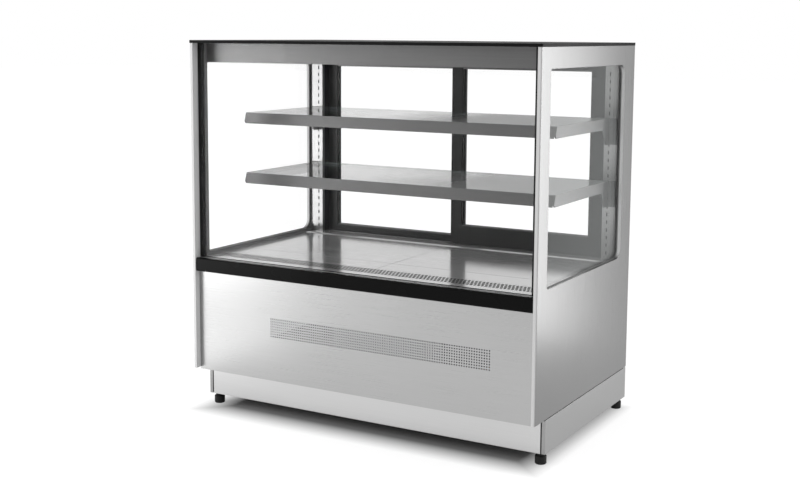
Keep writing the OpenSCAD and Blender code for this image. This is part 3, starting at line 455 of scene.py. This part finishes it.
# a round head that faces the rear, with a sunk drive
def addScrew(bm, place, radius, height):
    rearward = Matrix.Rotation(-math.pi / 2, 4, "X")
    turn = Matrix.Translation(place) @ rearward @ Matrix.Translation((0, 0, height / 2))
    made = bmesh.ops.create_cone(bm, cap_ends=True, segments=16, radius1=radius, radius2=radius * 0.8,
                                 depth=height, matrix=turn)
    faces = {f for v in made["verts"] for f in v.link_faces}
    crown = max(faces, key=lambda f: f.calc_center_median().y)
    bmesh.ops.inset_region(bm, faces=[crown], thickness=radius * 0.25)
    bmesh.ops.inset_region(bm, faces=[crown], thickness=radius * 0.12, depth=-height * 0.6)


# seals round the side windows, from the glass into the side panel
windowSealLook = {"width": 1.6 * mm, "inset": 8.1 * mm, "bite": 0.05 * mm, "reach": 1.5 * mm,
                  "radii": (8 * mm, 32 * mm)}


def addWindowSeal(side, look):
    low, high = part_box(side + "_side_glass")
    panelLow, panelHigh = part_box(side + "_side_panel")
    if side == "right":
        near, far = high.x - look["bite"], panelLow.x + look["reach"]
    else:
        near, far = panelHigh.x - look["reach"], low.x + look["bite"]
    inset = look["inset"]
    bm = bmesh.new()
    addPlate(bm, (near, low.y + inset, low.z + inset), (far, high.y - inset, high.z - inset), "x",
             look["radii"], look["width"])
    finishPiece(side + "_window_seal", bm, paint["ring"], "cabinet")


for sideName in ("left", "right"):
    addWindowSeal(sideName, windowSealLook)


# glazing beads on both faces of a door's glass
beadLook = {"width": 4 * mm, "depth": 3.5 * mm, "inset": 8.1 * mm, "bite": 0.1 * mm, "radius": 1 * mm}


def addBeads(door, look):
    low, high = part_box(door + "_glass")
    inset, radii = look["inset"], (look["radius"], look["radius"])
    front = (low.y - look["depth"], low.y + look["bite"])
    rear = (high.y - look["bite"], high.y + look["depth"])
    bm = bmesh.new()
    for near, far in (front, rear):
        addPlate(bm, (low.x + inset, near, low.z + inset), (high.x - inset, far, high.z - inset), "y",
                 radii, look["width"])
    finishPiece(door + "_beads", bm, steel["rail"], door)


# a pull cup let into a door's outer stile: floor, wall and rim
cupLook = {
    "size": (18 * mm, 140 * mm),
    "radius": 8.4 * mm,
    "depth": 8 * mm,
    "wall": 0.8 * mm,
    "gap": 0.1 * mm,
    "lip": 2.5 * mm,
    "proud": 0.8 * mm,
    "fromEdge": {"left": 18 * mm, "right": 24 * mm},
}


def addPullCup(side, look):
    door = side + "_door"
    low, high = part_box(door + "_frame")
    x = low.x + look["fromEdge"][side] if side == "left" else high.x - look["fromEdge"][side]
    z = sum(corner.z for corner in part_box("left_jamb")) / 2
    across, up = look["size"][0] / 2, look["size"][1] / 2
    radius, depth, wall, gap, lip = (look[key] for key in ("radius", "depth", "wall", "gap", "lip"))
    bm = bmesh.new()

    def addLayer(grow, near, far, radius, width=None):
        addPlate(bm, (x - across - grow, high.y + near, z - up - grow),
                 (x + across + grow, high.y + far, z + up + grow), "y", (radius, radius), width)

    addLayer(-gap, -depth, wall - depth, radius)
    addLayer(-gap, wall - gap - depth, 0, radius, wall)
    addLayer(lip, 0, look["proud"], radius + lip, lip + wall)
    finishPiece(door + "_pull_cup", bm, steel["profile"], door)


for sideName in ("left", "right"):
    addBeads(sideName + "_door", beadLook)
    addPullCup(sideName, cupLook)


# the strip on the left door's inner stile, where the doors meet
stripLook = {"width": 7 * mm, "thick": 2 * mm, "fromEdge": 1 * mm, "fromEnds": 22 * mm, "edge": 0.5 * mm}


def addMeetingStrip(look):
    low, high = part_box("left_door_frame")
    end = high.x - look["fromEdge"]
    bm = bmesh.new()
    addBar(bm, (end - look["width"], low.y - look["thick"], low.z + look["fromEnds"]),
           (end, low.y, high.z - look["fromEnds"]), look["edge"])
    finishPiece("left_door_meeting_strip", bm, steel["profile"], "left_door")


addMeetingStrip(stripLook)


# screws in the rear panel, the rear plinth and the control panel
sheet = 2 * mm  # the rear panel stands out past its sheet only at the louvres
screwLook = {
    "rear_panel": {"across": (-0.575, -0.290, 0.0, 0.215, 0.575), "up": (0.147, 0.456),
                   "face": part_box("rear_panel")[0].y + sheet, "radius": 4 * mm, "height": 2.4 * mm},
    "plinth_rear": {"across": (-0.56, -0.19, 0.19, 0.56), "up": (0.084,),
                    "face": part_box("plinth_rear")[1].y, "radius": 4 * mm, "height": 0.8 * mm},
    "controller": {"across": (0.247, 0.413), "up": (0.426,),
                   "face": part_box("controller")[1].y, "radius": 2.4 * mm, "height": 1.4 * mm},
}
for holder, look in screwLook.items():
    bm = bmesh.new()
    for across in look["across"]:
        for up in look["up"]:
            addScrew(bm, (across, look["face"], up), look["radius"], look["height"])
    finishPiece(holder + "_screws", bm, steel["fitting"], "cabinet")


# display window and indicator lamps on the control panel
displayLook = {
    "across": (0.354, 0.406),
    "up": (0.415, 0.437),
    "gap": 0.2 * mm,
    "sunk": 1.0 * mm,
    "thick": 0.8 * mm,
    "edge": 0.15 * mm,
    "finish": {"dark": rgb(0.004), "light": rgb(0.006), "rough": 0.08, "shine": 0.5},
}
lampLook = {
    "across": 0.348,
    "up": {"run_lamp": 0.434, "defrost_lamp": 0.418},
    "glow": {"run_lamp": "lamp_green", "defrost_lamp": "lamp_amber"},
    "radius": 1.6 * mm,
    "height": 0.8 * mm,
}


def addDisplay(look):
    (left, right), (foot, head) = look["across"], look["up"]
    gap = look["gap"]
    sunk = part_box("controller")[1].y - look["sunk"]
    bm = bmesh.new()
    addBar(bm, (left + gap, sunk, foot + gap), (right - gap, sunk + look["thick"], head - gap), look["edge"])
    finishPiece("control_display", bm, satinPaint("display_glass", look["finish"]), "cabinet")


def addIndicator(name, look):
    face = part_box("controller")[1].y
    bm = bmesh.new()
    addScrew(bm, (look["across"], face, look["up"][name]), look["radius"], look["height"])
    finishPiece(name, bm, glow[look["glow"][name]], "cabinet")


addDisplay(displayLook)
for indicator in lampLook["up"]:
    addIndicator(indicator, lampLook)


# a triangle on each of the two keys that step up and down
markLook = {"radius": 2.2 * mm, "thick": 0.2 * mm, "edge": 0.05 * mm, "turns": {"up_key": 1, "down_key": -1}}


def addKeyMark(key, look):
    low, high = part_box(key)
    place = Matrix.Translation(((low.x + high.x) / 2, high.y + look["thick"] / 2, (low.z + high.z) / 2))
    rearward = Matrix.Rotation(-math.pi / 2, 4, "X")
    pointing = Matrix.Rotation(math.pi / 2 * look["turns"][key], 4, "Z")
    bm = bmesh.new()
    bmesh.ops.create_cone(bm, cap_ends=True, segments=3, radius1=look["radius"], radius2=look["radius"],
                          depth=look["thick"], matrix=place @ rearward @ pointing)
    bmesh.ops.bevel(bm, geom=bm.edges[:], offset=look["edge"], affect="EDGES", segments=1, profile=0.5,
                    material=-1)
    finishPiece(key + "_mark", bm, paint["control"], key)


for keyName in markLook["turns"]:
    addKeyMark(keyName, markLook)


# end caps on the light bar
capLook = {"length": 3 * mm, "proud": 0.6 * mm, "drop": 1 * mm, "gap": 0.1 * mm, "edge": 0.8 * mm}


def addLampCaps(look):
    low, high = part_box("led_bar")
    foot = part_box("led_diffuser")[0].z - look["drop"]
    bm = bmesh.new()
    for start, end in ((low.x - look["length"], low.x), (high.x, high.x + look["length"])):
        addBar(bm, (start, low.y - look["proud"], foot), (end, high.y + look["proud"], high.z - look["gap"]),
               look["edge"])
    finishPiece("lamp_end_caps", bm, paint["key"], "cabinet")


addLampCaps(capLook)


# the polished rear edges of the shelf glass
shelfEdgeLook = {"inset": 0.4 * mm, "bite": 0.1 * mm, "proud": 0.4 * mm, "edge": 0.15 * mm}


def addShelfEdge(shelf, look):
    low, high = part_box(shelf)
    inset = look["inset"]
    bm = bmesh.new()
    addBar(bm, (low.x + inset, high.y - look["bite"], low.z + inset),
           (high.x - inset, high.y + look["proud"], high.z - inset), look["edge"])
    finishPiece(shelf + "_edge", bm, paneEdge, "cabinet")


for shelfName in ("upper_shelf_glass", "lower_shelf_glass"):
    addShelfEdge(shelfName, shelfEdgeLook)


# camera, at the photograph's viewing angle
cameraLook = {
    "place": (1.93103, -3.44873, 1.22457),
    "turn": (0.5206486, -0.1232889, 0.0060588),  # yaw, pitch, roll
    "lens": 55.583,
    "lift": -0.08,
}


def addCamera(look):
    yaw, pitch, roll = look["turn"]
    data = bpy.data.cameras.new("camera")
    data.sensor_width = 36.0
    data.lens = look["lens"]
    data.shift_y = look["lift"]
    data.clip_end = 60.0
    camera = bpy.data.objects.new("camera", data)
    turn = (Matrix.Rotation(yaw, 4, "Z") @ Matrix.Rotation(math.pi / 2 + pitch, 4, "X")
            @ Matrix.Rotation(roll, 4, "Z"))
    camera.matrix_world = Matrix.Translation(look["place"]) @ turn
    scene.collection.objects.link(camera)
    scene.camera = camera


addCamera(cameraLook)


# studio: a pale floor, white surroundings and soft lamps

# painted shadow: the glow fades out under the case and darkens the floor there, while the matt part takes
# the real shadow; foot is about half its width and depth
floorLook = {"size": 60.0, "glow": (0.0, 0.76), "shadowFade": (-0.085, 0.03), "matt": 0.38, "plain": 0.8,
             "foot": (0.60, 0.37)}


def addFloor(look):
    bpy.ops.mesh.primitive_plane_add(size=look["size"])
    floor = bpy.context.object
    floor.name = "floor"
    g = newFinish("floor_white")
    seen = g.ray("Is Camera Ray") | g.ray("Is Glossy Ray") | g.ray("Is Transmission Ray")
    across = g.axis("X") * g.axis("X")
    along = g.axis("Y") * g.axis("Y")
    # painted shadow: the glow is cut where the point lies inside the case's footprint
    outside = (across ** 0.5 - look["foot"][0]) | (along ** 0.5 - look["foot"][1])
    strength = g.between(outside, *look["shadowFade"], *look["glow"])
    light = g.add("ShaderNodeEmission", None, {"Color": rgb(1.0), "Strength": strength})
    lit = g.add("ShaderNodeAddShader", None, {0: light, 1: g.matt(look["matt"])})
    g.surface(g.add("ShaderNodeMixShader", None, {0: seen, 1: g.matt(look["plain"]), 2: lit}))
    floor.data.materials.append(g.owner)


# white behind the case, and dimmer in front of it in reflections
worldLook = {"ambient": 0.72, "front": 0.02, "towards": (-0.2, -0.98), "dim": (0.86, 0.99)}


def addSurroundings(look):
    scene.world = bpy.data.worlds.new("white_studio")
    g = Graph(scene.world)
    east, north = look["towards"]
    towards = g.axis("X", "Generated") * east + g.axis("Y", "Generated") * north
    shine = g.between(towards, *look["dim"], 1.0, look["front"])
    level = g.mix(g.ray("Is Glossy Ray"), look["ambient"], shine)
    level = g.mix(g.ray("Is Camera Ray") | g.ray("Is Transmission Ray"), level, 1.0)
    ground = g.tree.nodes["Background"]
    ground.inputs["Color"].default_value = rgb(1.0)
    g.feed(ground.inputs["Strength"], level)


# soft lamps: glow is the brightness of the lamp's face
studioLamps = {
    "key": {"place": (-1.95, -1.80, 0.65), "aim": (-0.2, -0.3, 0.35), "size": (1.1, 1.3), "glow": 3.4},
    "side": {"place": (1.34, 0.74, 0.76), "aim": (0.6, -0.36, 0.74), "size": (0.5, 1.4), "glow": 1.0,
             "spread": 80.0},
    "upper": {"place": (-2.0, -1.95, 2.2), "aim": (-0.5, -0.14, 0.9), "size": (0.8, 0.7), "glow": 3.0},
    "low": {"place": (-1.22, -0.95, 0.02), "aim": (-1.22, -0.95, 1.0), "size": (0.75, 0.8), "glow": 1.15},
    "top": {"place": (0.0, 0.2, 3.8), "aim": (0.0, 0.0, 0.0), "size": (3.0, 2.0), "glow": 1.2},
}


def addLamp(name, look):
    data = bpy.data.lights.new(name, "AREA")
    data.shape = "RECTANGLE"
    data.size, data.size_y = look["size"]
    data.energy = look["glow"] * math.pi * data.size * data.size_y
    data.spread = math.radians(look.get("spread", 180.0))
    lamp = bpy.data.objects.new(name, data)
    lamp.location = look["place"]
    aim = Vector(look["aim"]) - Vector(look["place"])
    lamp.rotation_euler = aim.to_track_quat("-Z", "Y").to_euler()
    lamp.visible_camera = False
    scene.collection.objects.link(lamp)


addFloor(floorLook)
addSurroundings(worldLook)
for lampName, look in studioLamps.items():
    addLamp(lampName, look)
print("studio:", len(studioLamps), "lamps")

bpy.context.view_layer.update()
